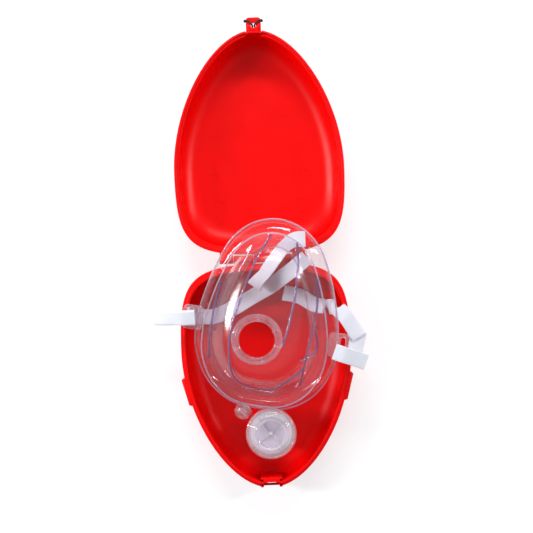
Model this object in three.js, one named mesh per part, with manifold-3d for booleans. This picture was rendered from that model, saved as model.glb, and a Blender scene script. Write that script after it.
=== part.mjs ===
// Pocket resuscitation mask kit: a hinged teardrop case lying open and flat,
// a clear face mask with an inflated cushion, its head strap, and a one-way valve.
// Millimetres, +Z up, +Y from the base towards the lid.
// Origin: centre of the base's flat underside.
import * as THREE from "three";
import { mergeVertices } from "three/addons/utils/BufferGeometryUtils.js";
import Module from "manifold-3d";

const wasm = await Module();
wasm.setup();

// ---- driving dimensions ----
const GAP = 0.3; // clearance between pieces that touch

const CASE = { half: 56.5, length: 149, wall: 2, blend: 17 };
const HINGE = { y: 78, z: 28, edge: 3, span: 57, barrel: 2.6, pin: 1, hole: 1.3 };
const RIM = { ledge: 27.7, lip: 28.8, step: 26.6, ledgeWidth: 1.6, width: 3.4 };
const LATCH = { width: 10, thick: 2.4, root: 148.8, reach: 160.2, z: 26.4 };
const CORD = { radius: 0.6 };

const MASK = { x: 0, y: 24.6, z: 31, yaw: -8.5, tilt: 16, roll: -5.5 };
const CUSHION = { radius: 9.5, inset: 9.5 };
const DOME = { lip: 6.5, skin: 1.6, foot: 9.8, top: 30, hole: 14.2 };
const PORT = { x: -3.1, y: 10.3, tilt: -15, roll: 5 };
const SOCKET = { bore: 11.3, tube: 13.3, flange: 15.8, low: -2.6, high: 4 };
const EAR = { x: 41.2, reach: 54.5, left: 12.4, right: 7, width: 16.3, thick: 2.2, slot: 11.6, gap: 3 };
const STRAP = { width: 10.4, thick: 1 };
const PLUG = { x: -7.4, y: -44.8, z: 7.4, radius: 5.8, cap: 5.4 };

const VALVE = { x: 1, y: -37, foot: 2.4, radius: 16.6, male: 11, top: 40 };

const degrees = THREE.MathUtils.degToRad;

// ---- solids ----

// One closed body from any three.js geometry: shared corners, no slivers, faces outwards.
function closed(geometry) {
  const bare = geometry.index ? geometry.toNonIndexed() : geometry.clone();
  bare.deleteAttribute("normal");
  bare.deleteAttribute("uv");
  const merged = mergeVertices(bare, 1e-4);
  const place = merged.attributes.position;
  const corner = [new THREE.Vector3(), new THREE.Vector3(), new THREE.Vector3()];
  const faces = [];
  let volume = 0;
  for (let i = 0; i < merged.index.count; i += 3) {
    const ids = [0, 1, 2].map((k) => merged.index.getX(i + k));
    if (new Set(ids).size < 3) {
      continue;
    }
    ids.forEach((id, k) => corner[k].fromBufferAttribute(place, id));
    volume += corner[0].dot(corner[1].clone().cross(corner[2]));
    faces.push(ids);
  }
  const outward = volume > 0 ? faces : faces.map((ids) => ids.slice().reverse());
  const solid = new THREE.BufferGeometry();
  solid.setAttribute("position", place.clone());
  solid.setIndex(outward.flat());
  return solid;
}

function toManifold(geometry) {
  const solid = closed(geometry);
  const vertProperties = new Float32Array(solid.attributes.position.array);
  const triVerts = new Uint32Array(solid.index.array);
  return new wasm.Manifold(new wasm.Mesh({ numProp: 3, vertProperties, triVerts }));
}

function fromManifold(manifold) {
  const mesh = manifold.getMesh();
  const geometry = new THREE.BufferGeometry();
  geometry.setAttribute("position", new THREE.BufferAttribute(new Float32Array(mesh.vertProperties), 3));
  geometry.setIndex(new THREE.BufferAttribute(new Uint32Array(mesh.triVerts), 1));
  return geometry;
}

function join(geometry, ...others) {
  return fromManifold(others.reduce((sum, one) => sum.add(toManifold(one)), toManifold(geometry)));
}

function cut(geometry, ...others) {
  return fromManifold(others.reduce((rest, one) => rest.subtract(toManifold(one)), toManifold(geometry)));
}

// A box given by its lowest and highest corner.
function block(low, high) {
  const size = high.map((value, i) => value - low[i]);
  const geometry = new THREE.BoxGeometry(...size);
  return geometry.translate(...low.map((value, i) => value + size[i] / 2));
}

// A cylinder along X between two values of x, or along Z between two heights.
function rodX(radius, from, to, y, z, sides = 20) {
  const geometry = new THREE.CylinderGeometry(radius, radius, to - from, sides);
  geometry.rotateZ(Math.PI / 2);
  return geometry.translate((from + to) / 2, y, z);
}

function rodZ(radius, from, to, x, y, sides = 24) {
  const geometry = new THREE.CylinderGeometry(radius, radius, to - from, sides);
  geometry.rotateX(Math.PI / 2);
  return geometry.translate(x, y, (from + to) / 2);
}

// A turned piece about the Z axis, from [radius, height] pairs; open profiles are closed.
function turned(profile, sides) {
  const points = profile.map(([r, z]) => new THREE.Vector2(r, z));
  const onAxis = profile[0][0] === 0 && profile[profile.length - 1][0] === 0;
  if (!onAxis) {
    points.push(points[0].clone());
  }
  return new THREE.LatheGeometry(points, sides).rotateX(Math.PI / 2);
}

// A turned piece whose rings follow outlines instead of circles: place(share, radius) gives
// the point in plan, and any rise, for a share of the way round and the profile's radius.
function shaped(profile, sides, place) {
  const geometry = turned(profile, sides);
  const position = geometry.attributes.position;
  for (let i = 0; i < position.count; i += 1) {
    const radius = Math.hypot(position.getX(i), position.getY(i));
    const step = Math.round((Math.atan2(position.getX(i), -position.getY(i)) / (2 * Math.PI)) * sides);
    const share = (((step % sides) + sides) % sides) / sides;
    const point = place(share, radius);
    position.setXYZ(i, point.x, point.y, position.getZ(i) + (point.z ?? 0));
  }
  return geometry;
}

// A section swept along a smooth route of points.
function swept(section, route, steps) {
  const path = new THREE.CatmullRomCurve3(route.map((p) => new THREE.Vector3(...p)), false, "centripetal");
  return new THREE.ExtrudeGeometry(section, { steps, bevelEnabled: false, extrudePath: path });
}

// A flat band along a route. faces lists where its broad side looks, evenly along the route.
function band(thick, width, route, steps, faces) {
  const path = new THREE.CatmullRomCurve3(route.map((p) => new THREE.Vector3(...p)), false, "centripetal");
  path.computeFrenetFrames = (count) => {
    const frames = { tangents: [], normals: [], binormals: [] };
    for (let i = 0; i <= count; i += 1) {
      const tangent = path.getTangentAt(i / count);
      const at = (i / count) * (faces.length - 1);
      const before = Math.min(Math.floor(at), faces.length - 2);
      const face = new THREE.Vector3(...faces[before]);
      face.lerp(new THREE.Vector3(...faces[before + 1]), at - before);
      const across = new THREE.Vector3().crossVectors(tangent, face).normalize();
      frames.tangents.push(tangent);
      frames.normals.push(new THREE.Vector3().crossVectors(across, tangent));
      frames.binormals.push(across);
    }
    return frames;
  };
  const section = new THREE.Shape();
  section.moveTo(-thick / 2, -width / 2);
  section.lineTo(thick / 2, -width / 2);
  section.lineTo(thick / 2, width / 2);
  section.lineTo(-thick / 2, width / 2);
  return new THREE.ExtrudeGeometry(section, { steps, bevelEnabled: false, extrudePath: path });
}

function roundSection(radius, sides) {
  const shape = new THREE.Shape();
  for (let i = 0; i < sides; i += 1) {
    const angle = (i / sides) * 2 * Math.PI;
    const move = i === 0 ? "moveTo" : "lineTo";
    shape[move](radius * Math.cos(angle), radius * Math.sin(angle));
  }
  return shape;
}

// ---- materials ----
const red = new THREE.MeshStandardMaterial({ color: 0xd4090a, roughness: 0.38 });
const clear = new THREE.MeshStandardMaterial({
  color: 0xf1edf4,
  roughness: 0.08,
  transparent: true,
  opacity: 0.3,
});
const steel = new THREE.MeshStandardMaterial({ color: 0xb9bbbf, roughness: 0.35, metalness: 1 });
const elastic = new THREE.MeshStandardMaterial({ color: 0xf0f1f6, roughness: 0.9 });
const black = new THREE.MeshStandardMaterial({ color: 0x17171a, roughness: 0.8 });
const silicone = new THREE.MeshStandardMaterial({ color: 0xdfdde6, roughness: 0.5 });
const paper = new THREE.MeshStandardMaterial({ color: 0xe9e6ee, roughness: 0.95 });

const group = new THREE.Group();

function piece(name, geometry, material, parent = group) {
  const mesh = new THREE.Mesh(closed(geometry), material);
  mesh.name = name;
  parent.add(mesh);
  return mesh;
}

// ---- the case halves, in their own frame: y runs from the hinge axis to the tip ----
const TIP = HINGE.edge + CASE.length;
const CASE_SIDES = 56;
const FLOOR_INSET = 15;
const HINGE_INSET = 19;

// A closed teardrop: blunt by the hinge and pointed at the tip.
function teardrop(half, near, far, nearPull, cornerPull, shoulder) {
  const path = new THREE.Path();
  const reach = far - (far - near) * 0.321;
  path.moveTo(0, near);
  path.bezierCurveTo(nearPull, near, half, near + cornerPull, half, shoulder);
  path.bezierCurveTo(half, reach, half * 0.483, far, 0, far);
  path.bezierCurveTo(-half * 0.483, far, -half, reach, -half, shoulder);
  path.bezierCurveTo(-half, near + cornerPull, -nearPull, near, 0, near);
  return path;
}

const rimLine = teardrop(CASE.half, HINGE.edge, TIP, 49.9, 10, 59);
const floorLine = teardrop(
  CASE.half - FLOOR_INSET,
  HINGE.edge + HINGE_INSET,
  TIP - FLOOR_INSET,
  35,
  8,
  59,
);
const rimPoints = rimLine.getSpacedPoints(CASE_SIDES);
const floorPoints = floorLine.getSpacedPoints(CASE_SIDES);
const bowlCentre = new THREE.Vector2(0, 70);

// Radius 0 to 1 runs from the centre to the floor's edge, and 1 to 2 from there to the rim.
function bowlPlace(share, radius) {
  const i = Math.round(share * CASE_SIDES);
  const floor = floorPoints[i];
  if (radius <= 1) {
    return bowlCentre.clone().lerp(floor, radius);
  }
  return floor.clone().lerp(rimPoints[i], radius - 1);
}

function bowl(lipHeight) {
  const profile = [[0, 0], [1, 0]];
  const turn = [0.25, 0.5, 0.75, 1].map((share) => (share * Math.PI) / 2);
  for (const angle of turn) {
    profile.push([1 + Math.sin(angle), CASE.blend * (1 - Math.cos(angle))]);
  }
  const ledgeEnd = 2 - RIM.ledgeWidth / FLOOR_INSET;
  const lipEnd = 2 - RIM.width / FLOOR_INSET;
  profile.push([2, RIM.ledge], [ledgeEnd, RIM.ledge], [ledgeEnd, lipHeight], [lipEnd, lipHeight]);
  const thinner = 1 - CASE.wall / FLOOR_INSET;
  const innerBlend = CASE.blend - CASE.wall;
  for (const angle of turn.slice().reverse()) {
    profile.push([1 + thinner * Math.sin(angle), CASE.wall + innerBlend * (1 - Math.cos(angle))]);
  }
  profile.push([1, CASE.wall], [0, CASE.wall]);
  return shaped(profile, CASE_SIDES, bowlPlace);
}

// Knuckles alternate between the halves along the hinge; each stands on a short web that
// ends in the rim, which curves away from the hinge towards its corners.
const WEB = { bite: 0.9, growth: 0.0027 };
const KNUCKLES = { lid: [[-28.5, -19.5], [-5.8, 5.8], [19.5, 28.5]], base: [[-19.2, -6.1], [6.1, 19.2]] };

function web(from, to) {
  const reach = (x) => HINGE.edge + WEB.bite + WEB.growth * x * x;
  const low = HINGE.z - HINGE.barrel;
  const shape = new THREE.Shape();
  shape.moveTo(from, 0);
  shape.lineTo(to, 0);
  shape.lineTo(to, reach(to));
  shape.lineTo(from, reach(from));
  const geometry = new THREE.ExtrudeGeometry(shape, { depth: RIM.ledge - low, bevelEnabled: false });
  return geometry.translate(0, 0, low);
}

function withKnuckles(geometry, spans) {
  const knuckles = [];
  for (const [from, to] of spans) {
    knuckles.push(rodX(HINGE.barrel, from, to, 0, HINGE.z), web(from, to));
  }
  const bore = rodX(HINGE.hole, -HINGE.span, HINGE.span, 0, HINGE.z);
  return cut(join(geometry, ...knuckles), bore);
}

// ---- base ----
const base = new THREE.Group();
base.position.y = HINGE.y;
base.rotation.z = Math.PI;
group.add(base);

const POCKET = { outer: 14.4, inner: 10.4, back: 145.4, front: 148.4, low: 12, foot: 9, setback: 0.5 };
const BAR = { front: 151.9, back: 150.5, low: 18.5, high: 20.5 };
const GRIP = {
  y: 86.5, width: 19, root: 1.5, pad: 1.4, reach: 2.4, low: 17.4, high: 27.2, ridges: 3, angle: 15,
};

// A finger grip that stands out of the rim's side, with ridges along its length.
function grip(side) {
  const half = GRIP.width / 2;
  const parts = [block([-GRIP.root, -half, GRIP.low], [GRIP.pad, half, GRIP.high])];
  const pitch = (GRIP.high - GRIP.low) / GRIP.ridges;
  for (let i = 0; i < GRIP.ridges; i += 1) {
    const low = GRIP.low + pitch * (i + 0.2);
    parts.push(block([0, 0.5 - half, low], [GRIP.reach, half - 0.5, low + pitch * 0.6]));
  }
  const whole = join(...parts);
  whole.rotateZ(degrees(GRIP.angle));
  whole.translate(52.6, GRIP.y, 0);
  if (side < 0) {
    whole.scale(-1, 1, 1);
  }
  return whole;
}

function caseBase() {
  const half = POCKET.outer / 2;
  const gap = POCKET.inner / 2;
  const catchBlock = block([-half, POCKET.back, POCKET.foot], [half, TIP - POCKET.setback, RIM.ledge]);
  const pocket = block([-gap, POCKET.front, POCKET.low], [gap, TIP + 5, RIM.lip + 5]);
  const bar = block([-half + 1, BAR.back, BAR.low], [half - 1, BAR.front, BAR.high]);
  const shell = join(bowl(RIM.lip), catchBlock);
  const open = cut(shell, pocket);
  return withKnuckles(join(open, bar, grip(1), grip(-1)), KNUCKLES.base);
}

piece("case_base", caseBase(), red, base);

const pin = turned(
  [[0, -HINGE.span / 2 - 0.9], [1.7, -HINGE.span / 2 - 0.9], [1.7, -HINGE.span / 2 - GAP],
    [HINGE.pin, -HINGE.span / 2 - GAP], [HINGE.pin, HINGE.span / 2 + 0.4], [0, HINGE.span / 2 + 0.4]],
  16,
);
pin.rotateY(Math.PI / 2);
pin.translate(0, 0, HINGE.z);
piece("hinge_pin", pin, steel, base);

// ---- lid ----
const lid = new THREE.Group();
lid.position.y = HINGE.y;
group.add(lid);

const EJECTOR = { radius: 4.3, depth: 0.4, places: [[32.4, 56], [28.5, 36.7]] };

function caseLid() {
  const marks = [];
  for (const [x, y] of EJECTOR.places) {
    for (const side of [-1, 1]) {
      marks.push(rodZ(EJECTOR.radius, CASE.wall - EJECTOR.depth, CASE.wall + 1, side * x, y, 16));
    }
  }
  const half = LATCH.width / 2 + 0.5;
  const seat = block([-half, LATCH.root - 1, LATCH.z - 2.2], [half, TIP + 2, RIM.ledge + 2]);
  return withKnuckles(cut(bowl(RIM.step), seat, ...marks), KNUCKLES.lid);
}

piece("case_lid", caseLid(), red, lid);

const CORD_HOLE = { y: 155, radius: 1.7 };
const CORD_NOTCH = 158;
const CATCH = { back: 148.8, front: 150, high: 31.6, half: 4.4 };

// A rounded tongue with a catch blade, finger ridges and a hole for the tie cord.
function latchTongue() {
  const half = LATCH.width / 2;
  const round = 3;
  const shape = new THREE.Shape();
  shape.moveTo(-half, LATCH.root);
  shape.lineTo(half, LATCH.root);
  shape.lineTo(half, LATCH.reach - round);
  shape.quadraticCurveTo(half, LATCH.reach, half - round, LATCH.reach);
  shape.lineTo(round - half, LATCH.reach);
  shape.quadraticCurveTo(-half, LATCH.reach, -half, LATCH.reach - round);
  const low = LATCH.z - LATCH.thick / 2;
  const depth = LATCH.thick;
  const tab = new THREE.ExtrudeGeometry(shape, { depth, bevelEnabled: false, curveSegments: 5 });
  tab.translate(0, 0, low);
  const blade = block([-CATCH.half, CATCH.back, LATCH.z], [CATCH.half, CATCH.front, CATCH.high]);
  const hole = rodZ(CORD_HOLE.radius, low - 1, low + 5, 0, CORD_HOLE.y, 12);
  const notches = [];
  for (const side of [-1, 1]) {
    notches.push(rodZ(1, low - 1, low + 5, side * (half + 0.35), CORD_NOTCH, 10));
  }
  return cut(join(tab, blade), hole, ...notches);
}

piece("latch_tongue", latchTongue(), red, lid);

// One loop of cord: up through the hole, out over both edges and back underneath.
const cordHigh = LATCH.z + LATCH.thick / 2 + CORD.radius + GAP;
const cordLow = LATCH.z - LATCH.thick / 2 - CORD.radius - GAP;
const cordSide = LATCH.width / 2 + CORD.radius + 0.35;
const cordHalf = [
  [0.75, CORD_HOLE.y, cordLow - 1.4],
  [0.75, CORD_HOLE.y, LATCH.z],
  [1.3, CORD_HOLE.y + 0.5, cordHigh],
  [3.6, CORD_NOTCH - 0.4, cordHigh + 0.1],
  [cordSide - 0.5, CORD_NOTCH, cordHigh - 0.1],
  [cordSide, CORD_NOTCH, LATCH.z],
  [cordSide - 0.5, CORD_NOTCH + 0.1, cordLow],
  [2.6, CORD_NOTCH + 0.6, cordLow],
];
const cordRoute = [...cordHalf.map(([x, y, z]) => [-x, y, z]), ...cordHalf.slice().reverse()];
piece("tie_cord", swept(roundSection(CORD.radius, 8), cordRoute, 56), black, lid);

// ---- mask, in its own frame: x across the face, y from chin to nose, z out of the dome ----
const mask = new THREE.Group();
mask.position.set(MASK.x, MASK.y, MASK.z);
mask.rotation.set(degrees(MASK.tilt), degrees(MASK.roll), degrees(MASK.yaw), "ZXY");
group.add(mask);

const MASK_SIDES = 48;
const faceHalf = [
  [15.5, 78], [28, 67], [36.5, 50], [43.3, 28], [47.2, 6], [46, -14], [36.5, -34], [20, -46.5],
];
const faceRoute = [
  [0, 82],
  ...faceHalf,
  [0, -49.3],
  ...faceHalf.slice().reverse().map(([x, y]) => [-x, y]),
];
const faceLine = new THREE.CatmullRomCurve3(
  faceRoute.map(([x, y]) => new THREE.Vector3(x, y, 0)),
  true,
  "centripetal",
);

// A point of the face outline, moved inwards.
function facePoint(share, inset) {
  const point = faceLine.getPointAt(share);
  const along = faceLine.getTangentAt(share);
  return new THREE.Vector2(point.x + along.y * inset, point.y - along.x * inset);
}

// Cushion: one tube round the face; the profile's radius is measured from outside.
const RING = 100;
const tube = [];
const TUBE_SIDES = 12;
for (let i = 0; i < TUBE_SIDES; i += 1) {
  const angle = (i / TUBE_SIDES) * 2 * Math.PI;
  tube.push([RING + CUSHION.radius * Math.cos(angle), CUSHION.radius * Math.sin(angle)]);
}
const cushionPlace = (share, radius) => facePoint(share, CUSHION.inset + RING - radius);
const cushion = shaped(tube, MASK_SIDES, cushionPlace);
piece("cushion", cushion, clear, mask);

// Dome: from a round hole under the port, over the face, to a flat lip on the cushion.
const domeOuter = [[0, 1], [0.18, 0.98], [0.36, 0.87], [0.54, 0.66], [0.7, 0.36], [0.8, 0.07]];

// The dome's top leans back under the port and blends out towards the face.
function domePlace(share, radius) {
  const angle = share * 2 * Math.PI;
  const hole = new THREE.Vector2(Math.sin(angle), Math.cos(angle)).multiplyScalar(DOME.hole);
  const out = radius - 1;
  const point = hole.add(new THREE.Vector2(PORT.x, PORT.y)).lerp(facePoint(share, DOME.lip), out);
  const pitch = (point.y - PORT.y) * Math.tan(degrees(PORT.tilt));
  const bank = (point.x - PORT.x) * Math.tan(degrees(PORT.roll));
  const blend = (1 - out) ** 3 * (1 + 3 * out);
  return new THREE.Vector3(point.x, point.y, (pitch - bank) * blend);
}

function maskDome() {
  const rise = DOME.top - DOME.foot - DOME.skin;
  const outer = domeOuter.map(([r, h]) => [1 + r, DOME.foot + DOME.skin + rise * h]);
  outer.push([2, DOME.foot + DOME.skin]);
  const inner = domeOuter.map(([r, h]) => [1 + r * 0.955, DOME.foot + rise * h]);
  return shaped([...outer, [2, DOME.foot], ...inner.reverse()], MASK_SIDES, domePlace);
}

piece("mask_dome", maskDome(), clear, mask);

// Port collar: a 22 mm socket with a rolled flange that sits on the dome.
const collar = turned(
  [[SOCKET.bore, SOCKET.low], [SOCKET.tube, SOCKET.low], [SOCKET.tube, 0.6], [SOCKET.flange, 0.6],
    [SOCKET.flange + 0.4, 1.5], [SOCKET.flange, 2.3], [SOCKET.tube + 1, 2.7], [SOCKET.tube + 0.6, 3.4],
    [SOCKET.tube, SOCKET.high], [SOCKET.bore + 0.6, SOCKET.high], [SOCKET.bore, 3.2]],
  32,
);
collar.rotateY(degrees(PORT.roll));
collar.rotateX(degrees(PORT.tilt));
collar.translate(PORT.x, PORT.y, DOME.top);
piece("port_collar", collar, clear, mask);

// Strap ears: flat loops beside the dome's lip, over the cushion.
function ear(side, y) {
  const low = DOME.foot + 0.1;
  const plate = block([EAR.x, y - EAR.width / 2, low], [EAR.reach, y + EAR.width / 2, low + EAR.thick]);
  const slotEnd = EAR.reach - 2.4;
  const slot = block([slotEnd - EAR.gap, y - EAR.slot / 2, 0], [slotEnd, y + EAR.slot / 2, 20]);
  const loop = cut(plate, slot);
  if (side < 0) {
    loop.scale(-1, 1, 1);
  }
  return loop;
}

piece("ear_left", ear(-1, EAR.left), clear, mask);
piece("ear_right", ear(1, EAR.right), clear, mask);

// Inflation valve: a short stem leaning out of the cushion by the chin, and its stopper.
const stem = new THREE.Group();
stem.position.set(PLUG.x, PLUG.y, PLUG.z);
stem.rotation.set(degrees(34), degrees(-16), 0);
mask.add(stem);
const STEM = { low: 1.6, high: 6.4, bore: 1.9, outer: 3.1, flange: PLUG.radius };
piece(
  "inflation_stem",
  turned(
    [[STEM.bore, STEM.low], [STEM.outer, STEM.low], [STEM.outer, 3.4], [STEM.flange, 3.4],
      [STEM.flange, 4.6], [STEM.outer + 0.4, 4.8], [STEM.outer, STEM.high], [STEM.bore, STEM.high]],
    20,
  ),
  clear,
  stem,
);
const capLow = STEM.high + GAP;
piece(
  "inflation_plug",
  turned(
    [[0, STEM.low + 0.6], [STEM.bore - GAP, STEM.low + 0.6], [STEM.bore - GAP, capLow],
      [PLUG.cap, capLow], [PLUG.cap, capLow + 1], [4.4, capLow + 1.4], [4, capLow + 2.8],
      [2.4, capLow + 3.2], [0, capLow + 3.2]],
    20,
  ),
  clear,
  stem,
);

// ---- head strap: lies under the mask, and its two ends come out through the ears ----
const UP = [0, 0, 1];
const TILTED = [0, -Math.sin(degrees(MASK.tilt)), Math.cos(degrees(MASK.tilt))];
const OUT_LEFT = [-1, 0, 0];
const OUT_RIGHT = [1, 0, 0.6];
const LEANING = [-0.4, 0.4, 0.8];

const strapLeft = [
  [-50.4, 42.6, 33.2], [-50, 42.4, 28], [-49, 42, 19], [-45, 41, 12], [-36, 40, 9],
  [-24, 44, 8.4], [-8, 52.6, 10], [4, 59.2, 19], [11.6, 64.6, 30.4], [20, 70.6, 33.4], [29, 77.6, 32.8],
];
const leftFaces = [OUT_LEFT, OUT_LEFT, UP, UP, UP, UP, UP, UP, UP];
piece("strap_left", band(STRAP.thick, STRAP.width, strapLeft, 44, leftFaces), elastic);

const strapEnd = [
  [-6.4, 59.6, 22], [-3.4, 63.4, 29], [1.4, 69, 34.8], [8.4, 78, 35.2], [14.4, 85, 35.2], [21, 89.4, 35.6],
  [28.4, 89.6, 36],
];
const endFaces = [UP, LEANING, LEANING, LEANING, UP];
piece("strap_end", band(STRAP.thick, STRAP.width, strapEnd, 28, endFaces), elastic);

const strapRight = [
  [13, 54.5, 12], [24, 51.6, 10.4], [34, 45.6, 11], [43, 44, 15], [46.4, 44, 24],
  [48, 43, 32], [52.4, 38.6, 35.2], [56.2, 32.4, 35.6], [61, 24, 35.8],
];
const rightFaces = [UP, UP, UP, OUT_RIGHT, OUT_RIGHT, UP, UP, UP];
piece("strap_right", band(STRAP.thick, STRAP.width, strapRight, 36, rightFaces), elastic);

// The strap folds back under itself here, towards the ear.
const strapTurn = [[61.4, 27.6, 34.2], [59.6, 21, 34.4], [57.6, 14, 35.4], [55.6, 7.6, 37]];
piece("strap_turn", band(STRAP.thick, STRAP.width, strapTurn, 12, [UP, UP]), elastic);

const strapTail = [[43.4, 16.6, 51.6], [50, 14, 50.6], [56.4, 11.4, 45.4], [64.6, 7.8, 39.6]];
piece("strap_tail", band(STRAP.thick, STRAP.width, strapTail, 12, [UP, UP]), elastic);

// The doubled end of the strap, sewn back on itself.
const strapStub = [[-45.4, 41.6, 44.2], [-54, 41.6, 43.4], [-61, 41.8, 39], [-72.4, 42.2, 33.2]];
piece("strap_stub", band(2.2 * STRAP.thick, STRAP.width, strapStub, 12, [TILTED, TILTED, UP]), elastic);

// ---- one-way valve, standing on its 22 mm connector ----
const valve = new THREE.Group();
valve.position.set(VALVE.x, VALVE.y, 0);
group.add(valve);
const VALVE_SIDES = 32;

// Lower half: the male connector flares into a dish that holds the filter.
const dish = 29.6;
piece(
  "valve_connector",
  turned(
    [[VALVE.male - 1.6, VALVE.foot], [VALVE.male - 0.3, VALVE.foot], [VALVE.male, 22],
      [VALVE.male + 0.6, 24.4], [15.4, dish - 1.6], [15.4, dish + 3], [14, dish + 3],
      [14, dish + 0.2], [VALVE.male - 1.6, 25.4]],
    VALVE_SIDES,
  ),
  clear,
  valve,
);
piece(
  "valve_filter",
  turned([[0, dish + 0.6], [13.6, dish + 0.6], [13.6, dish + 1.4], [0, dish + 1.4]], 24),
  paper,
  valve,
);

// Spider: a hub and four arms in a ring, which carries the diaphragm.
function spider() {
  const low = dish + 1.8;
  const ring = turned([[11.6, low], [13.6, low], [13.6, low + 1.2], [11.6, low + 1.2]], 24);
  const arms = [rodZ(2, low, low + 1.2, 0, 0, 12)];
  for (let i = 0; i < 2; i += 1) {
    const arm = block([-12, -0.7, low], [12, 0.7, low + 1.2]);
    arm.rotateZ(degrees(-52 + 90 * i));
    arms.push(arm);
  }
  return join(ring, ...arms, rodZ(0.9, low, low + 3.6, 0, 0, 10));
}

piece("valve_spider", spider(), clear, valve);
piece(
  "valve_diaphragm",
  turned([[1.25, dish + 3.5], [10.2, dish + 3.5], [10.2, dish + 4.2], [1.25, dish + 4.2]], 24),
  silicone,
  valve,
);

// Upper half: a skirt over the dish, stepping in to the rescuer's mouth port.
const upperLow = dish - 0.2;
piece(
  "valve_housing",
  turned(
    [[15.7, upperLow], [VALVE.radius, upperLow], [VALVE.radius, 35.2], [15.6, 36], [13, 36.2], [12.6, 37.4],
      [11.2, 37.8], [11.2, 35.2], [15.7, 35.2]],
    VALVE_SIDES,
  ),
  clear,
  valve,
);
piece(
  "valve_mouthpiece",
  turned(
    [[8.6, 35.8], [10.9, 35.8], [10.9, 38.1], [10.4, VALVE.top], [8.9, VALVE.top]],
    VALVE_SIDES,
  ),
  clear,
  valve,
);

export default group;
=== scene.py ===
import math

import bmesh
import bpy
from mathutils import Matrix, Vector, noise
from mathutils.bvhtree import BVHTree
from mathutils.geometry import interpolate_bezier


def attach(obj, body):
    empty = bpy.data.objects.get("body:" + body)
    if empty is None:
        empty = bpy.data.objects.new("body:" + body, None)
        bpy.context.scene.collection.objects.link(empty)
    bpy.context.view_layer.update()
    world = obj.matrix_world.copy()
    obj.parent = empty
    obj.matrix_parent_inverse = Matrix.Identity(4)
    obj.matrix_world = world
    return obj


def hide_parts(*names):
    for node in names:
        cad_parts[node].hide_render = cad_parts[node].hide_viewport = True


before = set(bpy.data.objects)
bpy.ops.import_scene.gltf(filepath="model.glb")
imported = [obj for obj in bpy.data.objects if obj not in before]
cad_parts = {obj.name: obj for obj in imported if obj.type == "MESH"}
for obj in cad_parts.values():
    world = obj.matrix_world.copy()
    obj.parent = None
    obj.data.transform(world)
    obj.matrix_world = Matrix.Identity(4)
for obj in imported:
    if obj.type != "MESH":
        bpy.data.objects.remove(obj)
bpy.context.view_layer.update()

MM = 0.001

# ---------------------------------------------------------------------------
# Camera: straight above the open kit, turned a little so that the case leans
# to the left, from a copying stand about 0.7 m over the table.
camera_data = bpy.data.cameras.new("camera")
camera_data.sensor_width = 36
camera_data.lens = 68.5
camera = bpy.data.objects.new("camera", camera_data)
camera.location = (2.3 * MM, 72.7 * MM, 700 * MM)
camera.rotation_euler = (0, 0, math.radians(-2.3))
bpy.context.scene.collection.objects.link(camera)
bpy.context.scene.camera = camera

# ---------------------------------------------------------------------------
# Studio: a white paper table top that runs out of sight, an even room and three
# long narrow soft boxes: one beyond the lid and one low on each side.
scene = bpy.context.scene
scene.view_settings.view_transform = "Standard"


def dial(node, values):
    """Sets a node's inputs by name."""
    for name, value in values.items():
        node.inputs[name].default_value = value


room = bpy.data.worlds.new("room")
room.use_nodes = True
walls = room.node_tree.nodes["Background"]
walls.inputs["Color"].default_value = (0.93, 0.95, 1.0, 1)
direction = room.node_tree.nodes.new("ShaderNodeTexCoord")
upward = room.node_tree.nodes.new("ShaderNodeSeparateXYZ")
ceiling = room.node_tree.nodes.new("ShaderNodeMapRange")
ceiling.interpolation_type = "SMOOTHSTEP"
dial(ceiling, {"From Min": 0.4, "From Max": 0.75, "To Min": 0.2, "To Max": 0.5})
room.node_tree.links.new(direction.outputs["Generated"], upward.inputs["Vector"])
room.node_tree.links.new(upward.outputs["Z"], ceiling.inputs["Value"])
room.node_tree.links.new(ceiling.outputs["Result"], walls.inputs["Strength"])
scene.world = room


def start_material(name):
    """A new node material, with its tree and its Principled shader."""
    material = bpy.data.materials.new(name)
    material.use_nodes = True
    tree = material.node_tree
    return material, tree, tree.nodes["Principled BSDF"]


def soft_box(name, place, aim, width, height, power):
    light = bpy.data.lights.new(name, "AREA")
    light.shape = "RECTANGLE"
    light.size = width
    light.size_y = height
    light.energy = power
    lamp = bpy.data.objects.new(name, light)
    lamp.location = place
    lamp.rotation_euler = (Vector(aim) - Vector(place)).to_track_quat("-Z", "Y").to_euler()
    scene.collection.objects.link(lamp)


soft_box("box_beyond", (0.05, 1.05, 0.95), (0, 0.1, 0), 0.8, 0.16, 10)
soft_box("box_left", (-1.1, 0.25, 0.62), (0, 0.05, 0), 0.14, 0.8, 14)
soft_box("box_right", (1.05, 0.35, 0.55), (0, 0.05, 0), 0.1, 0.6, 7)

table = bmesh.new()
bmesh.ops.create_grid(table, x_segments=2, y_segments=2, size=3)
table_mesh = bpy.data.meshes.new("table_top")
bmesh.ops.translate(table, vec=(0, 0, -0.05 * MM), verts=table.verts)
table.to_mesh(table_mesh)
table_top = bpy.data.objects.new("table_top", table_mesh)
scene.collection.objects.link(table_top)
white_paper, _, paper_shader = start_material("white_paper")
dial(paper_shader, {
    "Base Color": (0.42, 0.43, 0.44, 1), "Emission Color": (1, 1, 1, 1), "Emission Strength": 0.6,
    "Roughness": 0.9, "Specular IOR Level": 0.1,
})
table_mesh.materials.append(white_paper)

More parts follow.
